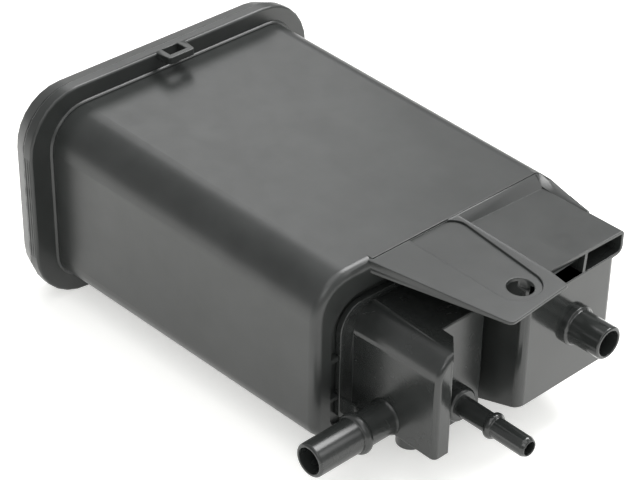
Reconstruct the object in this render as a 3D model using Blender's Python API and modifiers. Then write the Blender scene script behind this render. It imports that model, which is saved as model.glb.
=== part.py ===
"""Charcoal canister: a moulded nylon housing with two carbon chambers side by side, a welded end cover,
a welded port cap, and the beds, felts, grids, plates and springs inside. Metres, +Z up.
+X runs from the end cover to the ports. The root empty puts the origin under the middle of the part."""

from math import asin, atan2, cos, pi, radians, sin, tan

import bmesh
import bpy
from mathutils import Matrix, Vector

MM = 0.001

# Housing body: sizes at the port end, walls that widen towards the weld flange
BODY_LENGTH = 176.0 * MM
BODY_WIDTH = 142.2 * MM
BODY_HEIGHT = 83.0 * MM
SIDE_DRAFT = radians(0.85)
TOP_DRAFT = radians(1.56)
BOTTOM_DRAFT = radians(1.0)
WALL = 2.5 * MM
END_EDGE_RADIUS = 4.3 * MM
TOP_LEFT_RADIUS = 19.5 * MM
CORNER_RADIUS = 10.0 * MM
CORNER_GROWTH = 4.0 * MM

# Wall between the two carbon chambers
PARTITION_Y = 0.7 * MM
PARTITION = 2.2 * MM
PARTITION_SETBACK = 2.0 * MM
CHAMBER_CORNER = 3.0 * MM

# Weld flange, its inner bead and the wiring clip on top
FLANGE_WIDTH = 172.0 * MM
FLANGE_HEIGHT = 112.0 * MM
FLANGE_CORNER = 29.0 * MM
FLANGE_THICKNESS = 6.5 * MM
BEAD_STAND = 1.5 * MM
BEAD_DEPTH = 1.2 * MM
CLIP_Y = -1.2 * MM
CLIP_WIDTH = 15.6 * MM
CLIP_REACH = 7.8 * MM
CLIP_BAR = 3.0 * MM
CLIP_THICKNESS = 3.6 * MM

# End cover behind the flange
WELD_GAP = 0.3 * MM
COVER_DEPTH = 9.6 * MM
COVER_STEP = 1.0 * MM
COVER_TAPER = 2.4 * MM
COVER_EDGE_RADIUS = 2.4 * MM
COVER_WALL = 2.5 * MM
COVER_RECESS = 3.6 * MM
COVER_BORDER = 11.0 * MM
COVER_RIB = 2.2 * MM
COVER_RIB_COLUMNS = 4
COVER_RIB_ROWS = 3

# Recess in the end wall that takes the port cap
POCKET_LEFT = -61.3 * MM
POCKET_RIGHT = 1.2 * MM
POCKET_TOP = 28.2 * MM
POCKET_BOTTOM = -38.0 * MM
POCKET_DEPTH = 3.0 * MM
POCKET_CORNER = 17.4 * MM
POCKET_LOW_CORNER = 6.0 * MM
POCKET_KEY_HEIGHTS = (-1.3 * MM, -22.0 * MM)
POCKET_KEY = 2.4 * MM

# Port cap: flange with a lip, load chamber, purge chamber
CAP_GROOVE = 4.5 * MM
CAP_GROOVE_RIGHT = 1.9 * MM
CAP_LIP = 2.4 * MM
CAP_LIP_STAND = 0.5 * MM
CAP_BASE = 1.8 * MM
CAP_WALL = 2.2 * MM
LOAD_LEFT = -47.9 * MM
LOAD_RIGHT = -29.8 * MM
LOAD_TOP = 19.4 * MM
LOAD_BOTTOM = -32.5 * MM
LOAD_REACH = 49.5 * MM
LOAD_ARCH = 12.3 * MM
LOAD_CHAMFER = 9.6 * MM
LOAD_EDGE_RADIUS = 2.5 * MM
PURGE_RIGHT = -3.2 * MM
PURGE_CLEARANCE = 0.6 * MM
PURGE_REACH = 33.4 * MM
PURGE_EDGE_RADIUS = 1.2 * MM
CAP_BOSS_X = 28.6 * MM
CAP_BOSS_Y = -41.0 * MM
CAP_BOSS_RADIUS = 6.5 * MM
CAP_BOSS_DROP = 5.0 * MM
CAP_RIB_REACH = 8.0 * MM
CAP_RIB = 1.6 * MM

# Load port on the cap's left side
LOAD_PORT_X = 19.6 * MM
LOAD_PORT_Z = -25.8 * MM
LOAD_PORT_LENGTH = 44.5 * MM
LOAD_PORT_RADIUS = 8.0 * MM
LOAD_PORT_BORE = 6.2 * MM
LOAD_PORT_STOP = 27.2 * MM
LOAD_PORT_STOP_WIDTH = 4.6 * MM
LOAD_PORT_STOP_RADIUS = 9.7 * MM
LOAD_PORT_FOOT = 1.6 * MM

# Purge port on the purge chamber's front, with a quick-connect bead
PURGE_PORT_Y = -21.0 * MM
PURGE_PORT_Z = -22.3 * MM
PURGE_PORT_LENGTH = 45.1 * MM
PURGE_PORT_RADIUS = 4.75 * MM
PURGE_PORT_BORE = 3.2 * MM
PURGE_COLLAR_RADIUS = 8.1 * MM
PURGE_COLLAR_LENGTH = 6.8 * MM
PURGE_STOP = 20.5 * MM
PURGE_STOP_WIDTH = 4.0 * MM
PURGE_STOP_RADIUS = 6.2 * MM

# Vent box on the right of the end wall, and its port
BOX_LEFT = 2.0 * MM
BOX_RIGHT = 60.3 * MM
BOX_TOP = 24.4 * MM
BOX_REACH = 51.1 * MM
BOX_FRONT_BOTTOM = -29.8 * MM
BOX_BOTTOM = -40.6 * MM
BOX_SLOPE = radians(17.6)
BOX_CORNER = 4.0 * MM
BOX_WALL = 2.2 * MM
VENT_PORT_Y = 35.2 * MM
VENT_PORT_Z = 0.3 * MM
VENT_PORT_LENGTH = 20.0 * MM
VENT_PORT_RADIUS = 7.9 * MM
VENT_PORT_BORE = 6.1 * MM
VENT_COLLAR_RADIUS = 9.5 * MM
VENT_COLLAR_LENGTH = 3.6 * MM

# Mounting bracket over both: the bolt tab, wedge-shaped in side view, and the channel above the vent box
CREST_SETBACK = 0.7 * MM
CREST_DROP = 0.3 * MM
CREST_LINE = 0.5 * MM
CREST_ROOT = 10.0 * MM
CREST_RISE = 3.0 * MM
PROUD = 0.03 * MM
TAB_SLOPE = radians(3.86)
TAB_UNDERSIDE = 35.2 * MM
TAB_BACK_LEFT = -40.2 * MM
TAB_FRONT_LEFT = -23.4 * MM
TAB_FRONT_RIGHT = 14.2 * MM
TAB_BACK_RIGHT = 13.1 * MM
TAB_MOUTH_RIGHT = 15.4 * MM
TAB_REACH_LEFT = 65.8 * MM
TAB_REACH_RIGHT = 62.8 * MM
TAB_CORNER = 3.0 * MM
BOLT_X = 50.3 * MM
BOLT_Y = -1.8 * MM
BOLT_HOLE_RADIUS = 5.95 * MM
RECESS_DEPTH = 1.0 * MM
RECESS_REACH = 59.4 * MM
RECESS_BACK_LEFT = -16.6 * MM
RECESS_FRONT_LEFT = -13.2 * MM
RECESS_FRONT_RIGHT = 8.0 * MM
RECESS_BACK_RIGHT = 11.3 * MM
RECESS_FRONT_CORNER = 10.3 * MM
RECESS_BACK_CORNER = 6.5 * MM
ROOF_TOP = 37.3 * MM
RAMP_REACH = 3.6 * MM
CHANNEL_RIGHT = 64.2 * MM
CHANNEL_WALL = 1.7 * MM
CHANNEL_FALL = 1.1 * MM
CHANNEL_RIB_Y = 39.3 * MM
CHANNEL_CORNER = 2.0 * MM
CHANNEL_LOW_CORNER = 3.8 * MM
WING_START = 4.0 * MM
WING_REACH = 31.0 * MM
WING_INNER = 62.4 * MM
WING_LOW = 29.0 * MM

# Stack in each chamber, from the end wall to the cover: plenum, grid, felt, bed, felt, plate, springs
PLENUM = 5.0 * MM
GRID = 2.4 * MM
FELT = 4.0 * MM
PLATE_REST = 4.0 * MM
RETAINER = 2.6 * MM
STACK_GAP = 0.3 * MM
SLIDE_GAP = 0.4 * MM
STAND_RIB = 2.0 * MM
SLOT_WIDTH = 3.2 * MM
SLOT_PITCH = 8.4 * MM
SLOT_MARGIN = 6.0 * MM
SLOT_BAR = 6.0 * MM
SPRING_WIRE = 2.0 * MM
SPRING_RADIUS = 12.5 * MM
SPRING_TURNS = 2.6
SPRING_SPACING = 40.0 * MM
SPRING_POST = 3.0 * MM
VENT_FOAM_LENGTH = 24.0 * MM

# How far joined shapes run into each other; each takes its own multiple, so that no two faces coincide
BURY = 1.0 * MM

# Facets
CORNER_STEPS = 7
SMALL_STEPS = 3
ROUND_STEPS = 32
COIL_STEPS = 12

NYLON = ("glass_filled_nylon", (0.020, 0.021, 0.021), 0.38, 0.0)
FELT_LOOK = ("polyester_felt", (0.62, 0.61, 0.57), 0.95, 0.0)
FOAM_LOOK = ("open_cell_foam", (0.10, 0.10, 0.11), 0.95, 0.0)
CARBON_LOOK = ("activated_carbon", (0.012, 0.012, 0.013), 0.85, 0.0)
STEEL_LOOK = ("spring_steel", (0.45, 0.45, 0.44), 0.32, 1.0)

MAIN, VENT = "main", "vent"


def clear_scene():
    for obj in list(bpy.data.objects):
        bpy.data.objects.remove(obj)


def new_collection(name):
    collection = bpy.data.collections.new(name)
    bpy.context.scene.collection.children.link(collection)
    return collection


clear_scene()
PARTS = new_collection("charcoal_canister")
TOOLS = new_collection("shaping_tools")


def material(look):
    name, colour, roughness, metallic = look
    found = bpy.data.materials.new(name)
    found.use_nodes = True
    shader = found.node_tree.nodes["Principled BSDF"]
    shader.inputs["Base Color"].default_value = (*colour, 1.0)
    shader.inputs["Roughness"].default_value = roughness
    shader.inputs["Metallic"].default_value = metallic
    return found


def add_mesh(name, mesh, place=None):
    """A helper solid, kept out of the render until it is named as a part."""
    obj = bpy.data.objects.new(name, mesh)
    TOOLS.objects.link(obj)
    obj.matrix_world = place or Matrix.Identity(4)
    obj.hide_render = True
    obj.display_type = "WIRE"
    return obj


def as_part(obj, name, look, smooth_angle=radians(35)):
    """Makes a helper solid one of the object's pieces."""
    TOOLS.objects.unlink(obj)
    PARTS.objects.link(obj)
    obj.name = name
    obj.hide_render = False
    obj.display_type = "TEXTURED"
    obj.data.materials.append(material((f"{name}_{look[0]}", *look[1:])))
    obj.data.shade_smooth()
    obj.data.set_sharp_from_angle(angle=smooth_angle)
    return obj


def join(target, other):
    step = target.modifiers.new(f"join_{other.name}", "BOOLEAN")
    step.operation = "UNION"
    step.object = other


def cut(target, other):
    step = target.modifiers.new(f"cut_{other.name}", "BOOLEAN")
    step.operation = "DIFFERENCE"
    step.object = other


def rounded(corners, radii, steps=CORNER_STEPS):
    """A closed outline through the corners, each replaced by an arc of its radius."""
    points = []
    count = len(corners)
    for index, radius in enumerate(radii):
        corner = Vector(corners[index])
        to_last = (Vector(corners[index - 1]) - corner).normalized()
        to_next = (Vector(corners[(index + 1) % count]) - corner).normalized()
        if radius <= 0:
            points.append(tuple(corner))
            continue
        half = to_last.angle(to_next) / 2
        middle = corner + (to_last + to_next).normalized() * radius / sin(half)
        start = corner + to_last * radius / tan(half) - middle
        turn = pi - 2 * half
        side = 1 if start.y * to_last.x - start.x * to_last.y > 0 else -1
        base = atan2(start.y, start.x)
        for step in range(steps + 1):
            angle = base + side * turn * step / steps
            points.append((middle.x + radius * cos(angle), middle.y + radius * sin(angle)))
    return points


def rectangle(left, right, bottom, top):
    """Corners in order: bottom left, bottom right, top right, top left."""
    return [(left, bottom), (right, bottom), (right, top), (left, top)]


TURNS = {
    "X": Matrix(((0, 0, 1), (1, 0, 0), (0, 1, 0))).to_4x4(),
    "Y": Matrix(((1, 0, 0), (0, 0, -1), (0, 1, 0))).to_4x4(),
    "Z": Matrix.Identity(4),
}


def slab(name, outline, axis, low, high):
    """A flat outline with thickness: (y, z) points along X, (x, z) along Y, or (x, y) along Z."""
    curve = bpy.data.curves.new(name, "CURVE")
    curve.dimensions = "2D"
    curve.fill_mode = "BOTH"
    curve.extrude = (high - low) / 2
    spline = curve.splines.new("POLY")
    spline.points.add(len(outline) - 1)
    for point, (u, v) in zip(spline.points, outline):
        point.co = (u, v, 0, 1)
    spline.use_cyclic_u = True
    guide = bpy.data.objects.new(name, curve)
    TOOLS.objects.link(guide)
    shift = [0.0, 0.0, 0.0]
    shift["XYZ".index(axis)] = (low + high) / 2
    guide.matrix_world = Matrix.Translation(shift) @ TURNS[axis]
    bpy.context.view_layer.update()
    mesh = bpy.data.meshes.new_from_object(guide.evaluated_get(bpy.context.evaluated_depsgraph_get()))
    mesh.transform(guide.matrix_world)
    bpy.data.objects.remove(guide)
    shape = bmesh.new()
    shape.from_mesh(mesh)
    bmesh.ops.remove_doubles(shape, verts=shape.verts, dist=0.001 * MM)
    bmesh.ops.dissolve_limit(shape, angle_limit=radians(0.1), verts=shape.verts, edges=shape.edges)
    bmesh.ops.recalc_face_normals(shape, faces=shape.faces)
    shape.to_mesh(mesh)
    shape.free()
    return add_mesh(name, mesh)


def box(name, x, y, z):
    """A box between the two limits on each axis."""
    shape = bmesh.new()
    bmesh.ops.create_cube(shape, size=1.0)
    for vert in shape.verts:
        vert.co = Vector([low + (co + 0.5) * (high - low) for co, (low, high) in zip(vert.co, (x, y, z))])
    mesh = bpy.data.meshes.new(name)
    shape.to_mesh(mesh)
    shape.free()
    return add_mesh(name, mesh)


def loft(name, sections):
    """A closed solid through outlines of (y, z) points, each at its own x."""
    shape = bmesh.new()
    loops = []
    for x, outline in sections:
        loops.append([shape.verts.new((x, y, z)) for y, z in outline])
    for loop in loops:
        for index, vert in enumerate(loop):
            shape.edges.new((vert, loop[(index + 1) % len(loop)]))
    for near, far in zip(loops, loops[1:]):
        for index, vert in enumerate(near):
            after = (index + 1) % len(near)
            shape.faces.new((vert, near[after], far[after], far[index]))
    shape.faces.new(loops[0])
    shape.faces.new(loops[-1])
    bmesh.ops.recalc_face_normals(shape, faces=shape.faces)
    mesh = bpy.data.meshes.new(name)
    shape.to_mesh(mesh)
    shape.free()
    return add_mesh(name, mesh)


def round_edges(obj, radius, steps, chosen):
    """Rounds the edges whose middle point and direction pass the test."""
    shape = bmesh.new()
    shape.from_mesh(obj.data)
    edges = []
    for edge in shape.edges:
        ends = edge.verts[0].co, edge.verts[1].co
        if chosen((ends[0] + ends[1]) / 2, (ends[1] - ends[0]).normalized()):
            edges.append(edge)
    bmesh.ops.bevel(
        shape, geom=edges, offset=radius, offset_type="OFFSET", segments=steps, profile=0.5,
        affect="EDGES", clamp_overlap=True,
    )
    bmesh.ops.recalc_face_normals(shape, faces=shape.faces)
    shape.to_mesh(obj.data)
    shape.free()


def turned(name, profile, place, steps=ROUND_STEPS):
    """A turned solid: (radius, height) points down the outer side, from the axis top to the axis bottom."""
    mesh = bpy.data.meshes.new(name)
    verts = [(radius, 0.0, height) for radius, height in profile]
    mesh.from_pydata(verts, [(index, index + 1) for index in range(len(verts) - 1)], [])
    obj = add_mesh(name, mesh, place)
    spin = obj.modifiers.new("turn", "SCREW")
    spin.steps = steps
    spin.render_steps = steps
    spin.use_merge_vertices = True
    spin.merge_threshold = 0.01 * MM
    return obj


def along_x(x, y, z):
    """The turned piece's own height runs along +X from here."""
    return Matrix.Translation((x, y, z)) @ Matrix.Rotation(pi / 2, 4, "Y")


def along_minus_y(x, y, z):
    """The turned piece's own height runs along -Y from here."""
    return Matrix.Translation((x, y, z)) @ Matrix.Rotation(pi / 2, 4, "X")


def rod(name, radius, start, end, place, steps=ROUND_STEPS):
    """A plain cylinder between two heights on its axis."""
    return turned(name, [(0.0, end), (radius, end), (radius, start), (0.0, start)], place, steps)


def bore(name, radius, start, end, place, steps=ROUND_STEPS):
    """A cylinder to cut with, turned by half a facet from the solid round it."""
    return rod(name, radius, start, end, place @ Matrix.Rotation(pi / steps, 4, "Z"), steps)


# Body sections at a distance x from the weld flange's front face
def half_width(x):
    return BODY_WIDTH / 2 + (BODY_LENGTH - x) * tan(SIDE_DRAFT)


def body_top(x):
    return BODY_HEIGHT / 2 + (BODY_LENGTH - x) * tan(TOP_DRAFT)


def body_bottom(x):
    return -BODY_HEIGHT / 2 - (BODY_LENGTH - x) * tan(BOTTOM_DRAFT)


def corner_radius(x):
    return CORNER_RADIUS + CORNER_GROWTH * (BODY_LENGTH - x) / BODY_LENGTH


def body_section(x, inset=0.0):
    corner = max(corner_radius(x) - inset, 0.5 * MM)
    top_left = max(TOP_LEFT_RADIUS - inset, 0.5 * MM)
    corners = rectangle(
        inset - half_width(x), half_width(x) - inset, body_bottom(x) + inset, body_top(x) - inset
    )
    return rounded(corners, (corner, corner, corner, top_left))


def chamber_sides(side, x, gap):
    if side == MAIN:
        return WALL + gap - half_width(x), PARTITION_Y - PARTITION / 2 - gap
    return PARTITION_Y + PARTITION / 2 + gap, half_width(x) - WALL - gap


def chamber_section(side, x, gap=0.0):
    """The inside of one chamber, drawn in by a gap."""
    left, right = chamber_sides(side, x, gap)
    corners = rectangle(left, right, body_bottom(x) + WALL + gap, body_top(x) - WALL - gap)
    corner = corner_radius(x) - WALL - gap
    if side == MAIN:
        radii = (corner, CHAMBER_CORNER, CHAMBER_CORNER, TOP_LEFT_RADIUS - WALL - gap)
    else:
        radii = (CHAMBER_CORNER, corner, corner, CHAMBER_CORNER)
    return rounded(corners, radii, SMALL_STEPS)


def chamber_middle(side, x):
    left, right = chamber_sides(side, x, 0.0)
    return (left + right) / 2


# Stations along the stack, from the end wall back to the cover
POCKET_FLOOR = BODY_LENGTH - POCKET_DEPTH
END_INSIDE = POCKET_FLOOR - WALL
GRID_FRONT = END_INSIDE - PLENUM
FELT_FRONT = GRID_FRONT - GRID - STACK_GAP
BED_FRONT = FELT_FRONT - FELT - STACK_GAP
RETAINER_BACK = PARTITION_SETBACK + PLATE_REST
RETAINER_FRONT = RETAINER_BACK + RETAINER
COVER_FELT_BACK = RETAINER_FRONT + STACK_GAP
BED_BACK = COVER_FELT_BACK + FELT + STACK_GAP
COVER_FACE = -FLANGE_THICKNESS - WELD_GAP
COVER_BACK = COVER_FACE - COVER_DEPTH
COVER_INSIDE = COVER_BACK + COVER_RECESS + COVER_WALL


def flange_outline(inset=0.0):
    half_y = FLANGE_WIDTH / 2 - inset
    half_z = FLANGE_HEIGHT / 2 - inset
    return rounded(rectangle(-half_y, half_y, -half_z, half_z), (FLANGE_CORNER - inset,) * 4)


def body_shell():
    """The tapered outer body with its rounded end, the weld flange and the bead round the root."""
    sections = [(-FLANGE_THICKNESS / 2, body_section(-FLANGE_THICKNESS / 2))]
    for step in range(SMALL_STEPS + 2):
        angle = pi / 2 * step / (SMALL_STEPS + 1)
        x = BODY_LENGTH - END_EDGE_RADIUS * (1 - sin(angle))
        sections.append((x, body_section(x, END_EDGE_RADIUS * (1 - cos(angle)))))
    shell = loft("housing_body", sections)
    edge = 0.8 * MM
    flange = [
        (-FLANGE_THICKNESS, flange_outline(edge)),
        (edge - FLANGE_THICKNESS, flange_outline()),
        (-edge, flange_outline()),
        (0.0, flange_outline(edge)),
    ]
    join(shell, loft("weld_flange", flange))
    bead = [
        (-FLANGE_THICKNESS / 2, body_section(0.0, -BEAD_STAND)),
        (BEAD_DEPTH / 2, body_section(0.0, -BEAD_STAND)),
        (BEAD_DEPTH, body_section(0.0, -BEAD_STAND / 2)),
    ]
    join(shell, loft("root_bead", bead))
    return shell


def add_clip(shell):
    """The wiring clip: a loop that stands forward of the flange's top edge."""
    top = FLANGE_HEIGHT / 2
    left, right = CLIP_Y - CLIP_WIDTH / 2, CLIP_Y + CLIP_WIDTH / 2
    root = FLANGE_THICKNESS / 2
    spread = CLIP_BAR / 3
    outline = rounded(
        [
            (-root, left - spread), (0.0, left - spread), (CLIP_REACH, left),
            (CLIP_REACH, right), (0.0, right + spread), (-root, right + spread),
        ],
        (0, 0, CLIP_BAR / 2, CLIP_BAR / 2, 0, 0),
        SMALL_STEPS,
    )
    loop = slab("wiring_clip", outline, "Z", top - CLIP_THICKNESS, top)
    join(shell, loop)
    window = box(
        "clip_window", (-CLIP_BAR / 2, CLIP_REACH - CLIP_BAR), (left + CLIP_BAR, right - CLIP_BAR),
        (top - 1.5 * CLIP_THICKNESS, top + CLIP_THICKNESS),
    )
    cut(shell, window)


def pocket_outline(inset=0.0, right_inset=None):
    """The recess in the end wall, and what follows it inwards."""
    right_inset = inset if right_inset is None else right_inset
    corners = rectangle(
        POCKET_LEFT + inset, POCKET_RIGHT - right_inset, POCKET_BOTTOM + inset, POCKET_TOP - inset
    )
    low = max(POCKET_LOW_CORNER - inset, 0.8 * MM)
    return rounded(corners, (low, low, low, max(POCKET_CORNER - inset, low)))


def add_pocket_backing(shell):
    """The end wall set back behind the recess, at full wall thickness."""
    outline = pocket_outline(-WALL)
    join(shell, slab("pocket_backing", outline, "X", END_INSIDE, BODY_LENGTH - WALL / 2))


def cut_chambers(shell):
    for side in (MAIN, VENT):
        stations = (-FLANGE_THICKNESS - WALL, END_INSIDE if side == MAIN else BODY_LENGTH - WALL)
        sections = [(x, chamber_section(side, x)) for x in stations]
        cut(shell, loft(f"{side}_chamber", sections))
    mouth = (-FLANGE_THICKNESS - WALL, PARTITION_SETBACK)
    sections = [(x, body_section(x, WALL + 0.5 * MM)) for x in mouth]
    cut(shell, loft("chamber_mouth", sections))


def cut_pocket(shell):
    cut(shell, slab("cap_pocket", pocket_outline(), "X", POCKET_FLOOR, BODY_LENGTH + WALL))
    for name, (left, right) in cap_rooms().items():
        low, high = max(LOAD_BOTTOM, body_bottom(BODY_LENGTH)) + 2 * CAP_WALL, LOAD_TOP - 2 * CAP_WALL
        outline = rounded(rectangle(left, right, low, high), (CAP_WALL,) * 4, SMALL_STEPS)
        cut(shell, slab(f"{name}_opening", outline, "X", END_INSIDE - WALL, POCKET_FLOOR + WALL))


def cap_rooms():
    """Left and right limits of the two rooms inside the port cap."""
    return {
        "load_room": (LOAD_LEFT + CAP_WALL, LOAD_RIGHT - CAP_WALL / 2),
        "purge_room": (LOAD_RIGHT + CAP_WALL / 2, PURGE_RIGHT - CAP_WALL),
    }


def add_pocket_keys(shell):
    """Two small keys in the groove that locate the cap's lip."""
    for height in POCKET_KEY_HEIGHTS:
        key = box(
            "pocket_key", (POCKET_FLOOR - WALL / 2, BODY_LENGTH),
            (POCKET_LEFT - WALL / 2, POCKET_LEFT + CAP_GROOVE - STACK_GAP),
            (height - POCKET_KEY / 2, height + POCKET_KEY / 2),
        )
        join(shell, key)


def box_profile(wall=0.0):
    """Side outline of the vent box, with the slope under its front."""
    front = BODY_LENGTH + BOX_REACH - wall
    rise = BOX_FRONT_BOTTOM - BOX_BOTTOM
    knee = front - rise / tan(BOX_SLOPE)
    back = BODY_LENGTH - (2 * WALL if wall else 1.1 * BURY)
    return [
        (back, BOX_BOTTOM + wall), (knee, BOX_BOTTOM + wall), (front, BOX_FRONT_BOTTOM + wall),
        (front, BOX_TOP - wall), (back, BOX_TOP - wall),
    ]


def add_vent_box(shell):
    front = BODY_LENGTH + BOX_REACH
    outer = slab("vent_box", box_profile(), "Y", BOX_LEFT, BOX_RIGHT)
    round_edges(
        outer, BOX_CORNER, SMALL_STEPS + 1, lambda at, way: at.x > front - 1e-6 and abs(way.z) > 0.9
    )
    join(shell, outer)


def cut_vent_box(shell):
    inside = slab("vent_room", box_profile(BOX_WALL), "Y", BOX_LEFT + BOX_WALL, BOX_RIGHT - BOX_WALL)
    cut(shell, inside)


def add_vent_port(shell):
    front = BODY_LENGTH + BOX_REACH
    collar = [
        (0.0, VENT_COLLAR_LENGTH),
        (VENT_PORT_RADIUS, VENT_COLLAR_LENGTH),
        (VENT_COLLAR_RADIUS, VENT_COLLAR_LENGTH - 0.8 * MM),
        (VENT_COLLAR_RADIUS, -BOX_WALL / 2),
        (0.0, -BOX_WALL / 2),
    ]
    place = along_x(front, VENT_PORT_Y, VENT_PORT_Z)
    join(shell, turned("vent_collar", collar, place))
    chamfer = 0.7 * MM
    tube = [
        (0.0, VENT_PORT_LENGTH),
        (VENT_PORT_RADIUS - chamfer, VENT_PORT_LENGTH),
        (VENT_PORT_RADIUS, VENT_PORT_LENGTH - chamfer),
        (VENT_PORT_RADIUS, -BOX_WALL / 2),
        (0.0, -BOX_WALL / 2),
    ]
    join(shell, turned("vent_tube", tube, place))
    cut(shell, bore("vent_bore", VENT_PORT_BORE, -2 * BOX_WALL, VENT_PORT_LENGTH + WALL, place))


def crest_place():
    """The crest where the body's top ends, with local +X down the slope of the bolt tab."""
    x = BODY_LENGTH - CREST_SETBACK
    return Matrix.Translation((x, 0.0, body_top(x) - CREST_DROP)) @ Matrix.Rotation(TAB_SLOPE, 4, "Y")


def tab_blank():
    """The bolt tab: level below and sloped on top."""
    end = BODY_LENGTH
    back = end - 1.5 * BURY
    outline = rounded(
        [
            (back, TAB_BACK_LEFT), (end + TAB_REACH_LEFT, TAB_FRONT_LEFT),
            (end + TAB_REACH_RIGHT, TAB_FRONT_RIGHT), (end + BOX_REACH, TAB_MOUTH_RIGHT),
            (back, TAB_BACK_RIGHT),
        ],
        (0, TAB_CORNER, TAB_CORNER / 2, 0, 0),
        SMALL_STEPS,
    )
    tab = slab("bolt_tab", outline, "Z", TAB_UNDERSIDE, BODY_HEIGHT / 2 + WALL)
    reach = TAB_REACH_LEFT + BURY
    above = box(
        "tab_above", (-WALL, reach + WALL), (TAB_BACK_LEFT - WALL, TAB_MOUTH_RIGHT + WALL),
        (0.0, CORNER_RADIUS),
    )
    above.matrix_world = crest_place()
    cut(tab, above)
    return tab


def add_bracket(shell):
    """The ramp down from the body's top to the channel's roof, the bolt tab and its wall."""
    end = BODY_LENGTH
    join(shell, tab_blank())
    crest, top = end - CREST_SETBACK, body_top(end - CREST_SETBACK) + PROUD
    root, rise = crest - CREST_ROOT, crest - CREST_RISE
    low = ROOF_TOP - CHANNEL_FALL - CHANNEL_WALL / 2
    foot = crest + (top - low) * (RAMP_REACH + CREST_SETBACK) / (top - ROOF_TOP)
    ramp = [
        (root, low), (foot, low), (crest, top), (rise, body_top(rise) + PROUD),
        (root, body_top(root) - 3 * PROUD),
    ]
    left = TAB_BACK_LEFT + 2 * BURY
    join(shell, slab("bracket_ramp", ramp, "Y", left, WING_INNER + 0.05 * BURY))
    wall = box(
        "tab_wall", (end - 1.3 * BURY, end + BOX_REACH), (BOX_LEFT, BOX_LEFT + BOX_WALL),
        (BOX_TOP - BOX_WALL, TAB_UNDERSIDE + BURY),
    )
    round_edges(
        wall, BOX_WALL * 0.6, SMALL_STEPS,
        lambda at, way: at.x > end + BOX_REACH - 1e-6 and at.y < BOX_LEFT + 1e-6 and abs(way.z) > 0.9,
    )
    join(shell, wall)


def channel_outline(inset=0.0):
    """Outer section of the channel above the vent box."""
    low = BOX_TOP - BOX_WALL / 2
    left = BOX_LEFT + BOX_WALL / 2
    if inset:
        low = BOX_TOP
        left = BOX_LEFT + BOX_WALL
    right = CHANNEL_RIGHT - inset
    corners = [
        (left, low), (right, BOX_TOP + inset), (right, ROOF_TOP - CHANNEL_FALL - inset),
        (left, ROOF_TOP - inset),
    ]
    return rounded(
        corners, (0, CHANNEL_LOW_CORNER - inset, CHANNEL_CORNER - inset, 0), SMALL_STEPS
    )


def add_channel(shell):
    stations = (-1.2 * BURY, BOX_REACH)
    join(shell, loft("channel", [(BODY_LENGTH + reach, channel_outline()) for reach in stations]))


def wing_section(x, inset=0.0):
    """Section of the wing at the channel's right: the body's corner, drawn in towards the channel's."""
    share = min(max((x - BODY_LENGTH - WING_START) / (WING_REACH - WING_START), 0.0), 1.0)
    side = half_width(x) * (1 - share) + (CHANNEL_RIGHT + 0.1 * BURY) * share - inset
    top = body_top(x) * (1 - share) + (ROOF_TOP - CHANNEL_FALL / 2) * share - inset
    radius = max(corner_radius(x) * (1 - share) + CHANNEL_CORNER * share - inset, 0.4 * MM)
    inner = WING_INNER if not inset else CHANNEL_RIGHT
    start = asin(min(max(inner - side + radius, 0.0) / radius, 0.9))
    points = [(inner, WING_LOW - inset)]
    for step in range(SMALL_STEPS * 2 + 1):
        angle = start + (pi / 2 - start) * step / (SMALL_STEPS * 2)
        points.append((side - radius + radius * sin(angle), top - radius + radius * cos(angle)))
    points.append((side, WING_LOW - inset))
    return points


def add_wing(shell):
    """The body's right corner runs on as a wing, down to the channel's right side."""
    crest = BODY_LENGTH - CREST_SETBACK
    sections = []
    for x, rise in ((crest - CREST_ROOT, -3 * PROUD), (crest - CREST_RISE, PROUD), (crest, PROUD)):
        sections.append((x, [(y + rise, z + rise) for y, z in wing_section(x)]))
    for step in range(5):
        x = BODY_LENGTH + WING_START + (WING_REACH - WING_START) * step / 4
        sections.append((x, wing_section(x)))
    join(shell, loft("wing", sections))


def cut_wing(shell):
    """The wing is hollow, and open below."""
    span = WING_REACH - WING_START
    stations = (0.6 * MM, WING_START, WING_START + 0.3 * span, WING_START + 0.6 * span)
    sections = []
    for reach in stations:
        x = BODY_LENGTH + reach
        sections.append((x, wing_section(x, CHANNEL_WALL)))
    cut(shell, loft("wing_space", sections))


def cut_channel(shell):
    stations = (WALL / 2, BOX_REACH + WALL)
    sections = [(BODY_LENGTH + reach, channel_outline(CHANNEL_WALL)) for reach in stations]
    cut(shell, loft("channel_space", sections))
    rib = box(
        "channel_rib", (BODY_LENGTH - WALL / 2, BODY_LENGTH + BOX_REACH - 0.4 * MM),
        (CHANNEL_RIB_Y - CHANNEL_WALL / 2, CHANNEL_RIB_Y + CHANNEL_WALL / 2),
        (BOX_TOP - BOX_WALL / 2, ROOF_TOP - CHANNEL_FALL - CHANNEL_WALL / 2),
    )
    join(shell, rib)


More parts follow.
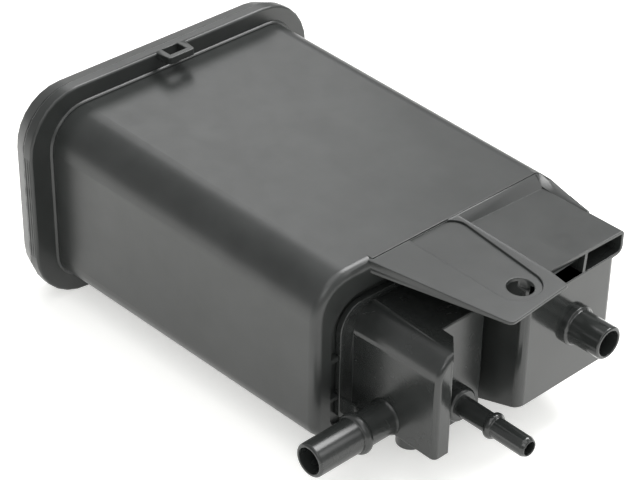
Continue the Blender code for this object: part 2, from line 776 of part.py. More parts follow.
def cut_bolt_tab(shell):
    """The recess along the tab, round at its front, the bolt hole in it and the line at the crest."""
    place = crest_place()
    outline = rounded(
        [
            (0.0, RECESS_BACK_LEFT), (RECESS_REACH + CREST_SETBACK, RECESS_FRONT_LEFT),
            (RECESS_REACH + CREST_SETBACK, RECESS_FRONT_RIGHT), (0.0, RECESS_BACK_RIGHT),
        ],
        (1.0 * MM, RECESS_FRONT_CORNER, RECESS_FRONT_CORNER, RECESS_BACK_CORNER),
    )
    recess = slab("tab_recess", outline, "Z", -RECESS_DEPTH, CORNER_RADIUS)
    recess.matrix_world = place
    cut(shell, recess)
    hole = Matrix.Translation((BODY_LENGTH + BOLT_X, BOLT_Y, 0.0))
    cut(shell, bore("bolt_hole", BOLT_HOLE_RADIUS, TAB_UNDERSIDE - WALL, ROOF_TOP + WALL, hole))
    half = CREST_LINE / 2
    line = box(
        "crest_line", (-half, half), (TAB_BACK_LEFT + 2 * BURY, WING_INNER + 2 * BURY), (-CREST_LINE, WALL)
    )
    line.matrix_world = place
    cut(shell, line)


def add_stand_ribs(shell):
    """Ribs on the end wall's inside that carry each grid and leave a plenum behind it."""
    centres = {
        MAIN: (LOAD_RIGHT, (POCKET_LEFT + LOAD_LEFT) / 2),
        VENT: ((BOX_LEFT + BOX_RIGHT) / 2, (BOX_RIGHT + half_width(BODY_LENGTH)) / 2),
    }
    for side, places in centres.items():
        low = body_bottom(BODY_LENGTH) + WALL * 0.4
        high = body_top(BODY_LENGTH) - WALL * 0.4
        for index, y in enumerate(places):
            end = (POCKET_FLOOR if side == MAIN else BODY_LENGTH) - WALL * 0.4
            if index:
                low, high = low + CORNER_RADIUS, high - TOP_LEFT_RADIUS
            rib = box(
                f"{side}_stand_rib_{index}", (GRID_FRONT + STACK_GAP, end),
                (y - STAND_RIB / 2, y + STAND_RIB / 2), (low, high),
            )
            join(shell, rib)


def canister_housing():
    shell = body_shell()
    add_clip(shell)
    add_pocket_backing(shell)
    add_vent_box(shell)
    add_channel(shell)
    add_bracket(shell)
    add_wing(shell)
    cut_chambers(shell)
    cut_pocket(shell)
    add_pocket_keys(shell)
    cut_channel(shell)
    cut_wing(shell)
    cut_vent_box(shell)
    cut_bolt_tab(shell)
    add_stand_ribs(shell)
    add_vent_port(shell)
    return as_part(shell, "canister_housing", NYLON)


def cover_outline(inset):
    return flange_outline(COVER_STEP + inset)


def end_cover():
    """A welded pan with a ribbed back, open towards the chambers."""
    sections = [(COVER_FACE, cover_outline(0.6 * MM)), (COVER_FACE - 0.6 * MM, cover_outline(0.0))]
    for step in range(SMALL_STEPS + 2):
        angle = pi / 2 * step / (SMALL_STEPS + 1)
        x = COVER_BACK + COVER_EDGE_RADIUS * (1 - sin(angle))
        taper = COVER_TAPER * (COVER_FACE - x) / COVER_DEPTH
        sections.append((x, cover_outline(taper + COVER_EDGE_RADIUS * (1 - cos(angle)))))
    cover = loft("cover_pan", sections)
    inside = [(x, body_section(x, WALL)) for x in (COVER_INSIDE, COVER_FACE + WALL)]
    cut(cover, loft("cover_inside", inside))
    half_y = FLANGE_WIDTH / 2 - COVER_BORDER
    half_z = FLANGE_HEIGHT / 2 - COVER_BORDER
    wide = (2 * half_y - COVER_RIB * (COVER_RIB_COLUMNS - 1)) / COVER_RIB_COLUMNS
    tall = (2 * half_z - COVER_RIB * (COVER_RIB_ROWS - 1)) / COVER_RIB_ROWS
    for column in range(COVER_RIB_COLUMNS):
        for row in range(COVER_RIB_ROWS):
            left = -half_y + column * (wide + COVER_RIB)
            bottom = -half_z + row * (tall + COVER_RIB)
            radii = [1.5 * MM] * 4
            corners = rectangle(left, left + wide, bottom, bottom + tall)
            for index, (y, z) in enumerate(corners):
                if abs(y) > half_y - 1e-6 and abs(z) > half_z - 1e-6:
                    radii[index] = FLANGE_CORNER - COVER_BORDER
            outline = rounded(corners, radii, SMALL_STEPS)
            cut(cover, slab("cover_cell", outline, "X", COVER_BACK - WALL, COVER_BACK + COVER_RECESS))
    for side, height in spring_places():
        place = along_x(COVER_INSIDE, chamber_middle(side, 0.0), height)
        radius = SPRING_RADIUS - SPRING_WIRE
        join(cover, rod(f"{side}_spring_post", radius, -COVER_WALL / 2, SPRING_POST, place, COIL_STEPS * 2))
    return as_part(cover, "end_cover", NYLON)


def spring_places():
    return [(side, end * SPRING_SPACING / 2) for side in (MAIN, VENT) for end in (1, -1)]


def cap_outline(inset):
    """The cap flange's outline, in from the groove round it."""
    return pocket_outline(CAP_GROOVE + inset, CAP_GROOVE_RIGHT + inset)


def port_cap():
    """The welded cap: flange and lip, the two rooms and both ports in one moulding."""
    base = POCKET_FLOOR + WELD_GAP
    cap = slab("cap_flange", cap_outline(0.0), "X", base, BODY_LENGTH + CAP_LIP_STAND)
    trough = slab(
        "cap_trough", pocket_outline(CAP_GROOVE + CAP_LIP, CAP_GROOVE_RIGHT + 0.9 * MM), "X",
        base + CAP_BASE, BODY_LENGTH + 2 * WALL,
    )
    cut(cap, trough)
    join(cap, load_solid("load_block", base))
    join(cap, purge_block(base))
    add_cap_details(cap, base)
    add_load_port(cap)
    add_purge_port(cap)
    cut_cap_rooms(cap, base)
    return as_part(cap, "port_cap", NYLON)


def load_solid(name, back, wall=0.0):
    """The load chamber, or its inside: arched on its left, cut across at its right front corner."""
    front = BODY_LENGTH + LOAD_REACH - wall
    left, right = LOAD_LEFT + wall, LOAD_RIGHT - wall / 2
    corners = rectangle(left, right, LOAD_BOTTOM + wall, LOAD_TOP - wall)
    block = slab(name, rounded(corners, (0, 0, 0, LOAD_ARCH - wall)), "X", back, front)
    if not wall:
        round_edges(
            block, LOAD_EDGE_RADIUS, SMALL_STEPS,
            lambda at, way: at.x > front - 1e-6 and at.y < right - 1e-6 and at.z > LOAD_BOTTOM + 1e-6,
        )
    reach = LOAD_CHAMFER + LOAD_EDGE_RADIUS
    wedge = [
        (front - LOAD_CHAMFER, right), (front + LOAD_EDGE_RADIUS, right - reach),
        (front + LOAD_EDGE_RADIUS, right + LOAD_EDGE_RADIUS),
        (front - LOAD_CHAMFER, right + LOAD_EDGE_RADIUS),
    ]
    cut(block, slab(f"{name}_corner", wedge, "Z", LOAD_BOTTOM - WALL, LOAD_TOP + WALL))
    return block


def purge_bottom():
    return POCKET_BOTTOM + PURGE_CLEARANCE


def purge_block(base):
    front = BODY_LENGTH + PURGE_REACH
    outline = rectangle(base, front, purge_bottom(), LOAD_TOP)
    block = slab("purge_block", outline, "Y", LOAD_RIGHT - CAP_WALL, PURGE_RIGHT)
    round_edges(
        block, PURGE_EDGE_RADIUS, SMALL_STEPS,
        lambda at, way: at.x > front - 1e-6 and (abs(way.y) > 0.9 or at.y > PURGE_RIGHT - 1e-6),
    )
    return block


def add_cap_details(cap, base):
    place = Matrix.Translation((BODY_LENGTH + CAP_BOSS_X, CAP_BOSS_Y, LOAD_BOTTOM))
    join(cap, rod("cap_boss", CAP_BOSS_RADIUS, -CAP_BOSS_DROP, CAP_WALL / 2, place, COIL_STEPS * 2))
    left = POCKET_LEFT + CAP_GROOVE + CAP_LIP
    rib = box(
        "cap_rib", (base + CAP_BASE / 2, BODY_LENGTH + CAP_RIB_REACH), (left, left + CAP_RIB),
        (LOAD_BOTTOM, LOAD_PORT_Z + CAP_RIB),
    )
    join(cap, rib)


def port_stop(position, width, radius, tube_radius):
    """A rounded bead round a tube, as (radius, height) points from its far end back."""
    points = []
    for step in range(SMALL_STEPS * 2 + 1):
        angle = pi * step / (SMALL_STEPS * 2)
        height = position + width / 2 * cos(angle)
        points.append((tube_radius + (radius - tube_radius) * sin(angle), height))
    return points


def add_load_port(cap):
    place = along_minus_y(BODY_LENGTH + LOAD_PORT_X, LOAD_LEFT, LOAD_PORT_Z)
    chamfer = 0.8 * MM
    profile = [
        (0.0, LOAD_PORT_LENGTH),
        (LOAD_PORT_RADIUS - chamfer, LOAD_PORT_LENGTH),
        (LOAD_PORT_RADIUS, LOAD_PORT_LENGTH - chamfer),
        *port_stop(
            LOAD_PORT_LENGTH - LOAD_PORT_STOP, LOAD_PORT_STOP_WIDTH, LOAD_PORT_STOP_RADIUS, LOAD_PORT_RADIUS
        ),
        (LOAD_PORT_RADIUS, LOAD_PORT_FOOT),
        (LOAD_PORT_RADIUS + LOAD_PORT_FOOT / 2, LOAD_PORT_FOOT / 3),
        (LOAD_PORT_RADIUS + LOAD_PORT_FOOT / 2, -CAP_WALL / 2),
        (0.0, -CAP_WALL / 2),
    ]
    join(cap, turned("load_tube", profile, place))


def add_purge_port(cap):
    place = along_x(BODY_LENGTH + PURGE_REACH, PURGE_PORT_Y, PURGE_PORT_Z)
    chamfer = 0.9 * MM
    profile = [
        (0.0, PURGE_PORT_LENGTH),
        (PURGE_PORT_RADIUS - chamfer, PURGE_PORT_LENGTH),
        (PURGE_PORT_RADIUS, PURGE_PORT_LENGTH - 2 * chamfer),
        *port_stop(
            PURGE_PORT_LENGTH - PURGE_STOP, PURGE_STOP_WIDTH, PURGE_STOP_RADIUS, PURGE_PORT_RADIUS
        ),
        (PURGE_PORT_RADIUS, PURGE_COLLAR_LENGTH),
        (PURGE_COLLAR_RADIUS - chamfer, PURGE_COLLAR_LENGTH),
        (PURGE_COLLAR_RADIUS, PURGE_COLLAR_LENGTH - chamfer),
        (PURGE_COLLAR_RADIUS, -CAP_WALL / 2),
        (0.0, -CAP_WALL / 2),
    ]
    join(cap, turned("purge_tube", profile, place))


def cut_cap_rooms(cap, base):
    rooms = cap_rooms()
    back = base - WALL
    cut(cap, load_solid("load_room", back, CAP_WALL))
    front = BODY_LENGTH + PURGE_REACH - CAP_WALL
    heights = (purge_bottom() + CAP_WALL, LOAD_TOP - CAP_WALL)
    cut(cap, box("purge_room", (back, front), rooms["purge_room"], heights))
    place = along_minus_y(BODY_LENGTH + LOAD_PORT_X, LOAD_LEFT, LOAD_PORT_Z)
    cut(cap, bore("load_bore", LOAD_PORT_BORE, -2 * CAP_WALL, LOAD_PORT_LENGTH + WALL, place))
    place = along_x(BODY_LENGTH + PURGE_REACH, PURGE_PORT_Y, PURGE_PORT_Z)
    cut(cap, bore("purge_bore", PURGE_PORT_BORE, -2 * CAP_WALL, PURGE_PORT_LENGTH + WALL, place))


def chamber_block(name, side, back, front, gap, look):
    sections = [(x, chamber_section(side, x, gap)) for x in (back, front)]
    return as_part(loft(name, sections), name, look)


def cut_slots(plate, side, back, front):
    """Rows of upright slots, left clear of the edges, with a bar across the middle."""
    left, right = chamber_sides(side, front, SLIDE_GAP + SLOT_MARGIN)
    low = body_bottom(front) + WALL + SLOT_MARGIN
    high = body_top(front) - WALL - SLOT_MARGIN
    count = int((right - left - SLOT_WIDTH) // SLOT_PITCH) + 1
    start = (left + right - (count - 1) * SLOT_PITCH) / 2
    for column in range(count):
        y = start + column * SLOT_PITCH
        trim = CORNER_RADIUS if column in (0, count - 1) else 0.0
        for row, limits in enumerate(((low + trim, -SLOT_BAR / 2), (SLOT_BAR / 2, high - trim))):
            slot = box(
                f"{side}_slot_{column}_{row}", (back - WALL, front + WALL),
                (y - SLOT_WIDTH / 2, y + SLOT_WIDTH / 2), limits,
            )
            cut(plate, slot)


def slotted_plate(name, side, back, front):
    sections = [(x, chamber_section(side, x, SLIDE_GAP)) for x in (back, front)]
    plate = loft(f"{name}_blank", sections)
    cut_slots(plate, side, back, front)
    return plate


def retainer_plate(side):
    """The sliding plate that the springs push against the bed, with a seat ring for each spring."""
    plate = slotted_plate(f"{side}_retainer", side, RETAINER_BACK, RETAINER_FRONT)
    y = chamber_middle(side, 0.0)
    for of_side, height in spring_places():
        if of_side == side:
            place = along_x(RETAINER_BACK, y, height)
            radius = SPRING_RADIUS + SPRING_WIRE
            join(plate, rod("spring_seat", radius, 0.0, RETAINER, place, COIL_STEPS * 2))
    return as_part(plate, f"{side}_retainer_plate", NYLON)


def spring(name, side, height):
    """A compression spring with a closed coil at each end, as a bevelled helix."""
    low = COVER_INSIDE + STACK_GAP + SPRING_WIRE / 2
    high = RETAINER_BACK - STACK_GAP - SPRING_WIRE / 2
    closed = SPRING_WIRE + STACK_GAP
    turns = SPRING_TURNS + 2
    curve = bpy.data.curves.new(name, "CURVE")
    curve.dimensions = "3D"
    curve.bevel_depth = SPRING_WIRE / 2
    curve.bevel_resolution = 2
    curve.use_fill_caps = True
    path = curve.splines.new("POLY")
    count = int(turns * COIL_STEPS)
    path.points.add(count)
    y = chamber_middle(side, 0.0)
    for index, point in enumerate(path.points):
        turn = turns * index / count
        if turn < 1:
            x = low + closed * turn
        elif turn > turns - 1:
            x = high - closed * (turns - turn)
        else:
            x = low + closed + (high - low - 2 * closed) * (turn - 1) / (turns - 2)
        angle = 2 * pi * turn
        point.co = (x, y + SPRING_RADIUS * cos(angle), height + SPRING_RADIUS * sin(angle), 1)
    coil = bpy.data.objects.new(name, curve)
    PARTS.objects.link(coil)
    curve.materials.append(material((f"{name}_steel", *STEEL_LOOK[1:])))
    return coil


def inner_pieces():
    for side in (MAIN, VENT):
        grid = slotted_plate(f"{side}_grid", side, GRID_FRONT - GRID, GRID_FRONT)
        as_part(grid, f"{side}_port_grid", NYLON)
        chamber_block(f"{side}_port_felt", side, FELT_FRONT - FELT, FELT_FRONT, SLIDE_GAP, FELT_LOOK)
        chamber_block(f"{side}_carbon_bed", side, BED_BACK, BED_FRONT, STACK_GAP, CARBON_LOOK)
        back = COVER_FELT_BACK
        chamber_block(f"{side}_cover_felt", side, back, back + FELT, SLIDE_GAP, FELT_LOOK)
        retainer_plate(side)
    for side, height in spring_places():
        spring(f"{side}_spring_{'upper' if height > 0 else 'lower'}", side, height)
    front = BODY_LENGTH + BOX_REACH - BOX_WALL - STACK_GAP
    foam = box(
        "vent_foam_blank", (front - VENT_FOAM_LENGTH, front),
        (BOX_LEFT + BOX_WALL + STACK_GAP, BOX_RIGHT - BOX_WALL - STACK_GAP),
        (BOX_FRONT_BOTTOM + BOX_WALL + STACK_GAP, BOX_TOP - BOX_WALL - STACK_GAP),
    )
    as_part(foam, "vent_box_foam", FOAM_LOOK)


def place_on_origin():
    """One root empty carries every piece, so that the origin lies under the middle of the part."""
    root = bpy.data.objects.new("root", None)
    bpy.context.scene.collection.objects.link(root)
    low_x, high_x = COVER_BACK, BODY_LENGTH + PURGE_REACH + PURGE_PORT_LENGTH
    low_y, high_y = LOAD_LEFT - LOAD_PORT_LENGTH, FLANGE_WIDTH / 2
    root.location = (-(low_x + high_x) / 2, -(low_y + high_y) / 2, FLANGE_HEIGHT / 2)
    for obj in list(PARTS.objects) + list(TOOLS.objects):
        obj.parent = root


canister_housing()
end_cover()
port_cap()
inner_pieces()
place_on_origin()
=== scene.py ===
"""The looks of the charcoal canister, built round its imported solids. Metres, +Z up, +X to the ports."""

from math import copysign, cos, pi, radians, sin

import bmesh
import bpy
from mathutils import Matrix, Vector, noise


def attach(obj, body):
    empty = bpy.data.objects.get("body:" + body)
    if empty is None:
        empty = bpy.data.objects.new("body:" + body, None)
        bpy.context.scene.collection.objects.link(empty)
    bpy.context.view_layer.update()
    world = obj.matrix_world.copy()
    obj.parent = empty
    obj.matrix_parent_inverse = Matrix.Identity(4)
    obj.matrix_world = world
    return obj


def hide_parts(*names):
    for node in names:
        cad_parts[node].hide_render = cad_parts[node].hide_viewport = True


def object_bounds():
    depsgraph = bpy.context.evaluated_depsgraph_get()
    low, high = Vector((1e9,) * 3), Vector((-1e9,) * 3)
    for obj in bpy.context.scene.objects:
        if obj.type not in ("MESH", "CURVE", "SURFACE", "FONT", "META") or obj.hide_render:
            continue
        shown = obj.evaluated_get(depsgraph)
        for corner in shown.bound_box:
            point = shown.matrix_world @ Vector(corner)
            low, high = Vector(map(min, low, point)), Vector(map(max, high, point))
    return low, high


bl_info = {
    "name": "Charcoal canister",
    "version": (1, 0, 0),
    "blender": (4, 5, 0),
    "location": "3D View > Sidebar > Canister",
    "description": "Finishes, weld beads, fillings and studio for a moulded charcoal canister",
    "category": "Object",
}

MM = 0.001
SIDES = ("main", "vent")

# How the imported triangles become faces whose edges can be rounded.
MERGE_DISTANCE = 0.002 * MM
FLAT_ANGLE = radians(0.4)
SMOOTH_ANGLE = radians(38)
LEAST_WIDTH = 2.2  # of a face beside a rounding, in radii
SHORTEST_FILLET = 9.0 * MM

# The channel's roof at its right side, its ramp, and the wing beside both.
ROOF_EDGE = 92.22 * MM
RAMP_FOOT = 61.65 * MM
RAMP_SLOPE = 0.99
WING_START = 60.7 * MM
WING_END = 88.2 * MM
WING_INNER = 65.5 * MM
WING_FOOT = 65.6 * MM
WING_RISE = 0.3
WING_WALL = 1.5 * MM

# The rim's outline at the welded joint, across the X axis, and the ridges beside the joint.
JOINT = -125.75 * MM
RIM_MIDDLE = Vector((0.0, 3.2, 56.0)) * MM
RIM_HALF = (85.0 * MM, 55.0 * MM)
RIM_CORNER = 28.0 * MM
ARC_STEPS = 32
FLANGE_SIDE = -82.8 * MM
RIDGES = (1.9 * MM, 3.7 * MM, 5.2 * MM)
RIDGE_SHARE = 0.7
FLASH_STEP = 1.3 * MM
FLASH_WAVE = 5 * MM

POLISH_FADE = 4 * MM

# Sockets of a Mix node that mixes colours.
FACTOR, FIRST, SECOND, MIXED = 0, 6, 7, 2

FLOOR_REACH = 4.0
SENSOR_WIDTH = 36.0
# Each softbox's direction from the aim, its distance and size in metres, and its radiance's setting.
SOFTBOXES = {
    "key_softbox": ((0.0, 0.57, 0.82), 1.5, (0.8, 0.8), "key_light"),
    "back_softbox": ((-0.67, 0.45, 0.62), 1.6, (0.75, 0.6), "back_light"),
    "side_softbox": ((0.58, 0.58, 0.57), 1.6, (0.7, 0.6), "side_light"),
    "fill_softbox": ((0.5, -0.55, 0.6), 1.6, (0.9, 0.7), "fill_light"),
    "top_panel": ((0.1, -0.1, 1.0), 1.8, (1.6, 1.6), "top_light"),
}

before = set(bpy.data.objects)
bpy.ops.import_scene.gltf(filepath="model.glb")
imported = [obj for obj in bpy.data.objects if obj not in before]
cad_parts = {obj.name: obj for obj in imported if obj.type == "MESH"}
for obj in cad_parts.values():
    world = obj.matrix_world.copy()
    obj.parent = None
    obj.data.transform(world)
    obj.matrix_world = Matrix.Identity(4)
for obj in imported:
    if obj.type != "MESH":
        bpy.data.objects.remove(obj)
CAD_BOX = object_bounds()


class MouldingSettings(bpy.types.PropertyGroup):
    """Edges and finish of the nylon mouldings."""

    edge_radius: bpy.props.FloatProperty(
        name="Edge radius", description="Rounding of the moulded edges",
        default=0.45 * MM, min=0.05 * MM, subtype="DISTANCE", unit="LENGTH",
    )
    edge_steps: bpy.props.IntProperty(
        name="Edge steps", description="Facets across each rounded edge", default=3, min=1, max=6
    )
    sharp_angle: bpy.props.FloatProperty(
        name="Sharp angle", description="Edges that turn more than this are rounded",
        default=radians(26), subtype="ANGLE",
    )
    colour: bpy.props.StringProperty(
        name="Colour", description="sRGB hex colour of the black nylon", default="#262827"
    )
    clouded: bpy.props.StringProperty(
        name="Clouded colour", description="sRGB hex colour where glass fibres lie near the skin",
        default="#2d2f2e",
    )
    roughness: bpy.props.FloatProperty(
        name="Roughness", description="Roughness of the body's satin skin", default=0.34, min=0.0, max=1.0
    )
    polish: bpy.props.FloatProperty(
        name="Polished roughness", description="Roughness of the ports and the vent box's front",
        default=0.12, min=0.0, max=1.0,
    )
    cap_polish: bpy.props.FloatProperty(
        name="Cap roughness", description="Roughness of the port cap", default=0.26, min=0.0, max=1.0
    )
    polish_start: bpy.props.FloatProperty(
        name="Polish start", description="Place along the part where the polished tool begins",
        default=103.0 * MM, unit="LENGTH",
    )
    polish_full: bpy.props.FloatProperty(
        name="Polish full", description="Place along the part where the skin is fully polished",
        default=107.5 * MM, unit="LENGTH",
    )
    polish_top: bpy.props.FloatProperty(
        name="Polish top", description="Height over which nothing is polished",
        default=90.0 * MM, unit="LENGTH",
    )
    grain: bpy.props.FloatProperty(
        name="Grain", description="Size of the skin's fine grain", default=0.5 * MM, unit="LENGTH"
    )
    flash: bpy.props.FloatProperty(
        name="Weld flash", description="Radius of the bead that the hot plate left round the rim",
        default=0.6 * MM, unit="LENGTH",
    )


class FillingSettings(bpy.types.PropertyGroup):
    """Colours of what the chambers and the vent box hold."""

    felt: bpy.props.StringProperty(
        name="Felt", description="sRGB hex colour of the felt", default="#c9c6bb"
    )
    # Painted shade: the darker colour laid where the felt's fibres lie low.
    felt_painted_shade: bpy.props.StringProperty(
        name="Felt painted shade", description="sRGB hex colour down in the felt", default="#a9a598"
    )
    foam: bpy.props.StringProperty(
        name="Foam", description="sRGB hex colour of the foam", default="#2b2c2e"
    )
    # Painted shade: the near-black colour laid inside the foam's hollow cells.
    foam_painted_cell_shade: bpy.props.StringProperty(
        name="Foam painted cell shade", description="sRGB hex colour inside the foam's cells", default="#0b0b0c"
    )
    carbon: bpy.props.StringProperty(
        name="Carbon", description="sRGB hex colour of the carbon pellets", default="#1b1b1c"
    )
    # Painted shade: the near-black colour laid in the gaps between the pellets.
    carbon_painted_gap_shade: bpy.props.StringProperty(
        name="Carbon painted gap shade", description="sRGB hex colour between the pellets", default="#060606"
    )
    steel: bpy.props.StringProperty(
        name="Steel", description="sRGB hex colour of the spring wire", default="#b3b1ac"
    )
    dull_steel: bpy.props.StringProperty(
        name="Dull steel", description="sRGB hex colour of the wire's dull patches", default="#8f8d88"
    )


class StudioSettings(bpy.types.PropertyGroup):
    """Camera, floor and lights."""

    azimuth: bpy.props.FloatProperty(
        name="Azimuth", description="Camera's turn round the part, from looking along +Y",
        default=radians(46.45), subtype="ANGLE",
    )
    elevation: bpy.props.FloatProperty(
        name="Elevation", description="Camera's height above the horizon",
        default=radians(34.06), subtype="ANGLE",
    )
    roll: bpy.props.FloatProperty(
        name="Roll", description="Camera's turn about its own axis",
        default=radians(1.01), subtype="ANGLE",
    )
    aim: bpy.props.FloatVectorProperty(
        name="Aim", description="Point in the middle of the picture",
        default=(-8.25 * MM, -4.25 * MM, 60.5 * MM), subtype="XYZ", unit="LENGTH",
    )
    distance: bpy.props.FloatProperty(
        name="Distance", description="Camera's distance from the aim",
        default=987.0 * MM, unit="LENGTH",
    )
    lens: bpy.props.FloatProperty(
        name="Lens", description="Focal length in millimetres on a 36 mm sensor", default=122.12
    )
    floor: bpy.props.StringProperty(
        name="Floor", description="sRGB hex colour of the floor", default="#f2f2f0"
    )
    air: bpy.props.FloatProperty(
        name="Air", description="Strength of the even light all round", default=0.5
    )
    key_light: bpy.props.FloatProperty(
        name="Key light", description="Radiance of the high softbox behind the part", default=10.2
    )
    back_light: bpy.props.FloatProperty(
        name="Back light", description="Radiance of the low softbox beyond the rim", default=2.4
    )
    top_light: bpy.props.FloatProperty(
        name="Top light", description="Radiance of the panel overhead", default=1.5
    )
    side_light: bpy.props.FloatProperty(
        name="Side light", description="Radiance of the softbox beyond the ports' end", default=2.6
    )
    fill_light: bpy.props.FloatProperty(
        name="Fill light", description="Radiance of the softbox beside the camera", default=2.2
    )
    table_light: bpy.props.FloatProperty(
        name="Table light", description="Glow of the paper floor, lit from below", default=0.55
    )


def linear(code):
    """The linear colour of an sRGB hex value."""
    channels = [int(code[place:place + 2], 16) / 255 for place in (1, 3, 5)]
    return tuple(c / 12.92 if c <= 0.04045 else ((c + 0.055) / 1.055) ** 2.4 for c in channels) + (1.0,)


def add_node(tree, kind, sockets=None, **settings):
    """Adds a shader node with its settings. Each socket takes a value, or a link from an output."""
    node = tree.nodes.new(kind)
    for name, value in settings.items():
        setattr(node, name, value)
    for name, value in (sockets or {}).items():
        if isinstance(value, bpy.types.NodeSocket):
            tree.links.new(value, node.inputs[name])
        else:
            node.inputs[name].default_value = value
    return node


def new_material(name):
    """An empty node material, with its tree and the Object coordinates."""
    made = bpy.data.materials.new(name)
    made.use_nodes = True
    made.node_tree.nodes.clear()
    return made, made.node_tree, add_node(made.node_tree, "ShaderNodeTexCoord").outputs["Object"]


def moulded_nylon(name="satin_glass_filled_nylon", polished=False):
    """Black polyamide with glass fibre, injection moulded: a satin skin with a fine grain from the tool,
    slow sink waves on the large walls, faint clouds from the fibres, and a polished end at the ports."""
    if name in bpy.data.materials:
        return bpy.data.materials[name]
    mouldings = bpy.context.scene.canister_mouldings
    made, tree, place = new_material(name)
    clouds = add_node(
        tree, "ShaderNodeTexNoise",
        {"Vector": place, "Scale": 1 / (22 * MM), "Detail": 4.0, "Roughness": 0.6},
    ).outputs["Fac"]
    share = add_node(tree, "ShaderNodeMapRange", {"Value": clouds, "From Min": 0.35, "From Max": 0.65})
    colour = add_node(
        tree, "ShaderNodeMix",
        {
            FACTOR: share.outputs["Result"],
            FIRST: linear(mouldings.colour), SECOND: linear(mouldings.clouded),
        },
        data_type="RGBA",
    ).outputs[MIXED]
    sides = add_node(tree, "ShaderNodeSeparateXYZ", {"Vector": place}).outputs
    ahead = add_node(tree, "ShaderNodeMapRange", {
        "Value": sides["X"], "From Min": mouldings.polish_start, "From Max": mouldings.polish_full,
    })
    below = add_node(tree, "ShaderNodeMapRange", {
        "Value": sides["Z"], "From Min": mouldings.polish_top,
        "From Max": mouldings.polish_top - POLISH_FADE,
    })
    buffed = add_node(
        tree, "ShaderNodeMath", {0: ahead.outputs["Result"], 1: below.outputs["Result"]},
        operation="MULTIPLY",
    )
    skin = add_node(tree, "ShaderNodeMapRange", {
        "Value": buffed.outputs["Value"], "To Max": mouldings.polish,
        "To Min": mouldings.cap_polish if polished else mouldings.roughness,
    })
    handling = add_node(
        tree, "ShaderNodeTexNoise",
        {"Vector": place, "Scale": 1 / (9 * MM), "Detail": 3.0, "Distortion": 0.8},
    ).outputs["Fac"]
    smudge = add_node(
        tree, "ShaderNodeMapRange",
        {"Value": handling, "From Min": 0.35, "From Max": 0.7, "To Min": -0.015, "To Max": 0.02},
    )
    rough = add_node(
        tree, "ShaderNodeMath", {0: skin.outputs["Result"], 1: smudge.outputs["Result"]}, operation="ADD"
    ).outputs["Value"]
    sinks = add_node(tree, "ShaderNodeTexNoise", {"Vector": place, "Scale": 1 / (48 * MM), "Detail": 1.0})
    waves = add_node(tree, "ShaderNodeBump", {"Height": sinks.outputs["Fac"], "Distance": 0.35 * MM})
    grain = add_node(tree, "ShaderNodeTexNoise", {"Vector": place, "Scale": 1 / mouldings.grain})
    relief = add_node(tree, "ShaderNodeBump", {
        "Height": grain.outputs["Fac"], "Distance": 0.012 * MM, "Normal": waves.outputs["Normal"],
    })
    shader = add_node(tree, "ShaderNodeBsdfPrincipled", {
        "Base Color": colour, "Roughness": rough, "Normal": relief.outputs["Normal"], "IOR": 1.53,
    })
    add_node(tree, "ShaderNodeOutputMaterial", {"Surface": shader.outputs["BSDF"]})
    return made


def needled_felt():
    """Off-white polyester felt, needle-punched: short crossed fibres and small pits, with painted shade
    darkening it where the fibres lie low.
    """
    fillings = bpy.context.scene.canister_fillings
    made, tree, place = new_material("needled_polyester_felt")
    fibres = add_node(
        tree, "ShaderNodeTexNoise",
        {"Vector": place, "Scale": 1 / (0.6 * MM), "Detail": 4.0, "Roughness": 0.7},
    ).outputs["Fac"]
    pits = add_node(
        tree, "ShaderNodeTexVoronoi", {"Vector": place, "Scale": 1 / (1.4 * MM)}
    ).outputs["Distance"]
    share = add_node(tree, "ShaderNodeMapRange", {"Value": fibres, "From Min": 0.3, "From Max": 0.7})
    # Painted shade: the felt is darker where the fibre noise, which also raises the fuzz, is low.
    colour = add_node(
        tree, "ShaderNodeMix",
        {
            FACTOR: share.outputs["Result"],
            FIRST: linear(fillings.felt_painted_shade), SECOND: linear(fillings.felt),
        },
        data_type="RGBA",
    ).outputs[MIXED]
    fuzz = add_node(tree, "ShaderNodeBump", {"Height": fibres, "Distance": 0.25 * MM})
    relief = add_node(
        tree, "ShaderNodeBump", {"Height": pits, "Distance": 0.2 * MM, "Normal": fuzz.outputs["Normal"]}
    )
    shader = add_node(tree, "ShaderNodeBsdfPrincipled", {
        "Base Color": colour, "Roughness": 0.95, "Sheen Weight": 0.3, "Normal": relief.outputs["Normal"],
    })
    add_node(tree, "ShaderNodeOutputMaterial", {"Surface": shader.outputs["BSDF"]})
    return made


def open_cell_foam():
    """Charcoal-grey polyurethane foam, blown and reticulated: open cells of about 1.2 mm, their hollow
    insides darkened with painted shade.
    """
    fillings = bpy.context.scene.canister_fillings
    made, tree, place = new_material("reticulated_polyurethane_foam")
    cells = add_node(
        tree, "ShaderNodeTexVoronoi", {"Vector": place, "Scale": 1 / (1.2 * MM)},
        feature="DISTANCE_TO_EDGE",
    ).outputs["Distance"]
    share = add_node(tree, "ShaderNodeMapRange", {"Value": cells, "From Max": 0.25})
    # Painted shade: the middles of the cells, sunk by the bump below, take the near-black colour.
    colour = add_node(
        tree, "ShaderNodeMix",
        {
            FACTOR: share.outputs["Result"],
            FIRST: linear(fillings.foam), SECOND: linear(fillings.foam_painted_cell_shade),
        },
        data_type="RGBA",
    ).outputs[MIXED]
    relief = add_node(tree, "ShaderNodeBump", {"Height": cells, "Distance": 0.6 * MM}, invert=True)
    shader = add_node(
        tree, "ShaderNodeBsdfPrincipled",
        {"Base Color": colour, "Roughness": 0.9, "Normal": relief.outputs["Normal"]},
    )
    add_node(tree, "ShaderNodeOutputMaterial", {"Surface": shader.outputs["BSDF"]})
    return made


